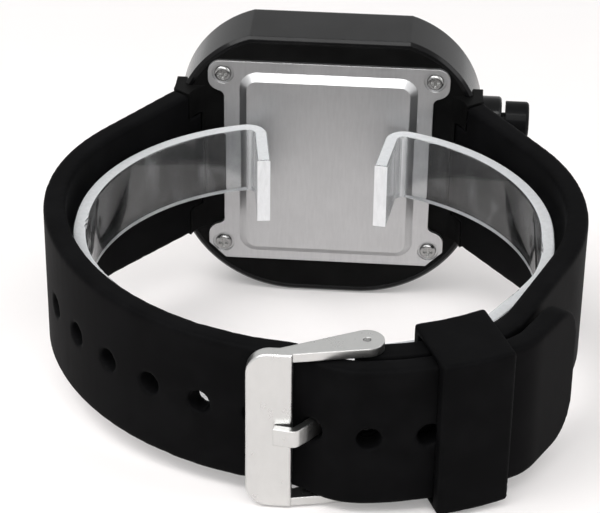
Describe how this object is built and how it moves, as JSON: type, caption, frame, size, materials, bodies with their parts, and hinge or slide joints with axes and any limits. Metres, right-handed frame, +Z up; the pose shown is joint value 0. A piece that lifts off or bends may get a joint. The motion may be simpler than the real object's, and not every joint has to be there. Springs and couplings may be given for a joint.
{
  "type": "digital watch",
  "caption": "Digital wristwatch with a rounded square case, rubber strap with buckle and keeper, push button, screwed steel back and a clear display cuff inside the buckled strap",
  "frame": {"origin": "on the table under the middle of the lying watch", "axes": "+X to the right seen from the buckle, +Y from the buckle towards the case, +Z up; the watch leans on the case's lower edge and the buckle"},
  "size_m": [0.0678, 0.0776, 0.04],
  "materials": {
    "case_gloss": "gloss",
    "frame_matt": "satin",
    "steel": "brushed",
    "steel_bright": "polished",
    "rubber_black": "matt",
    "gasket_rubber": "matt",
    "cuff_clear": "clear",
    "lens_dark": "clear",
    "mask_black": "matt",
    "holder_white": "matt",
    "board_green": "satin",
    "chip_black": "matt",
    "display_black": "gloss",
    "led_red": "lit",
    "led_dark": "gloss",
    "cell_steel": "brushed",
    "contact_brass": "bright",
    "crystal_can": "satin",
    "resistor_grey": "matt",
    "cap_black": "gloss"
  },
  "bodies": {
    "watch": {"case_shell": "case_gloss", "lens": "lens_dark", "lens_gasket": "gasket_rubber", "back_frame": "frame_matt", "plate_gasket": "gasket_rubber", "back_plate": "steel", "case_screws": "steel_bright", "strap_pins": "steel_bright", "strap_long": "rubber_black", "strap_short": "rubber_black", "spring_bar": "steel_bright", "button_seal": "gasket_rubber", "tact_switch": "chip_black", "battery": "cell_steel", "battery_bridge": "steel_bright", "battery_contact": "contact_brass", "module_holder": "holder_white", "module_screws": "steel_bright", "circuit_board": "board_green", "display_module": "display_black", "segments_lit": "led_red", "segments_dark": "led_dark", "dial_mask": "mask_black", "controller_chip": "chip_black", "quartz_crystal": "crystal_can", "chip_resistors": "resistor_grey"},
    "button": {"button_cap": "cap_black", "button_clip": "steel_bright", "switch_plunger": "chip_black"},
    "buckle": {"buckle_frame": "steel"},
    "tongue": {"buckle_tongue": "steel"},
    "keeper": {"keeper": "rubber_black"},
    "cuff": {"display_cuff": "cuff_clear"}
  },
  "joints": [
    {"name": "button_press", "type": "slide", "parent": "watch", "child": "button", "axis": [-1, 0, 0], "range_m": [0, 0.0004], "stiffness_N_per_m": 1500},
    {"name": "buckle_swing", "type": "hinge", "parent": "watch", "child": "buckle", "pos_m": [0.00801, -0.03278, 0.01101], "axis": [0, -0.1562, 0.9877], "range_deg": [0, 2.5]},
    {"name": "tongue_swing", "type": "hinge", "parent": "buckle", "child": "tongue", "pos_m": [0.00801, -0.03278, 0.01101], "axis": [0, -0.1562, 0.9877], "range_deg": [0, 2.5]},
    {"name": "keeper_slide", "type": "hinge", "parent": "watch", "child": "keeper", "pos_m": [0.00441, -0.00197, 0.01588], "axis": [0, -0.1562, 0.9877], "range_deg": [-7, 0]},
    {"name": "cuff_pull_out", "type": "slide", "parent": "watch", "child": "cuff", "axis": [0, -0.1562, 0.9877], "range_m": [0, 0.03]}
  ]
}
